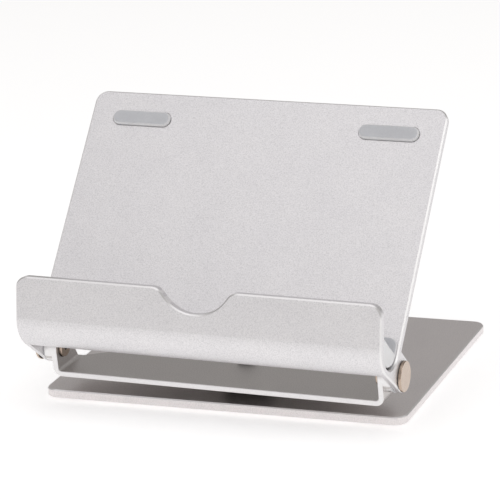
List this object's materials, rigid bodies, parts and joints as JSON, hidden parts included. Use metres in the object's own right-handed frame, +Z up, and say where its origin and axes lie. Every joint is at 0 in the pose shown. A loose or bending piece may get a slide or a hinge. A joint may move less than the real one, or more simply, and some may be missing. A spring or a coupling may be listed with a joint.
{
  "type": "tablet stand",
  "caption": "Aluminium tablet stand: a base plate, a swivelling bent yoke and a cradle with a silicone-lined trough, notched front ledge and back plate that tilts on friction pivots",
  "frame": {"origin": "on the table plane, under the middle of the base plate", "axes": "+X to the user's right, +Y away from the user, +Z up; the yoke and the cradle rest turned 2.1 degrees clockwise, seen from above, about the swivel"},
  "size_m": [0.1739, 0.1619, 0.1236],
  "materials": {
    "bead_blasted_aluminium": "bead blasted and clear anodised, with brighter machined chamfers",
    "turned_steel": "turned and polished",
    "blackened_steel": "black oxide, satin",
    "translucent_silicone": "matte translucent silicone",
    "foot_rubber": "matte",
    "nylon_washer": "matte",
    "natural_nylon": "matte, off-white"
  },
  "bodies": {
    "base": {"base_plate": "bead_blasted_aluminium", "foot_front_left": "foot_rubber", "foot_front_right": "foot_rubber", "foot_rear_left": "foot_rubber", "foot_rear_right": "foot_rubber", "swivel_hub": "blackened_steel", "hub_screw_1": "turned_steel", "hub_screw_2": "turned_steel", "hub_screw_3": "turned_steel", "swivel_friction_washer": "nylon_washer", "swivel_disc_spring": "turned_steel", "swivel_screw": "blackened_steel"},
    "yoke_assembly": {"yoke": "bead_blasted_aluminium", "swivel_bush": "nylon_washer", "pivot_barrel_left": "turned_steel", "head_washer_left": "nylon_washer", "lug_washer_left": "natural_nylon", "pivot_spacer_left": "bead_blasted_aluminium", "ear_washer_left": "nylon_washer", "pivot_disc_spring_left": "turned_steel", "pivot_screw_left": "blackened_steel", "pivot_barrel_right": "turned_steel", "head_washer_right": "nylon_washer", "lug_washer_right": "natural_nylon", "pivot_spacer_right": "bead_blasted_aluminium", "ear_washer_right": "nylon_washer", "pivot_disc_spring_right": "turned_steel", "pivot_screw_right": "blackened_steel"},
    "cradle_assembly": {"cradle": "bead_blasted_aluminium", "top_pad_left": "translucent_silicone", "top_pad_right": "translucent_silicone", "seat_pad_left": "translucent_silicone", "seat_pad_right": "translucent_silicone"}
  },
  "joints": [
    {"name": "swivel", "type": "hinge", "parent": "base", "child": "yoke_assembly", "pos_m": [0, -0.032, 0], "axis": [0, 0, 1], "continuous": true},
    {"name": "tilt", "type": "hinge", "parent": "yoke_assembly", "child": "cradle_assembly", "pos_m": [-0.00117, -0.06378, 0.0239], "axis": [0.9993, -0.0366, 0], "range_deg": [-58, 45]}
  ]
}
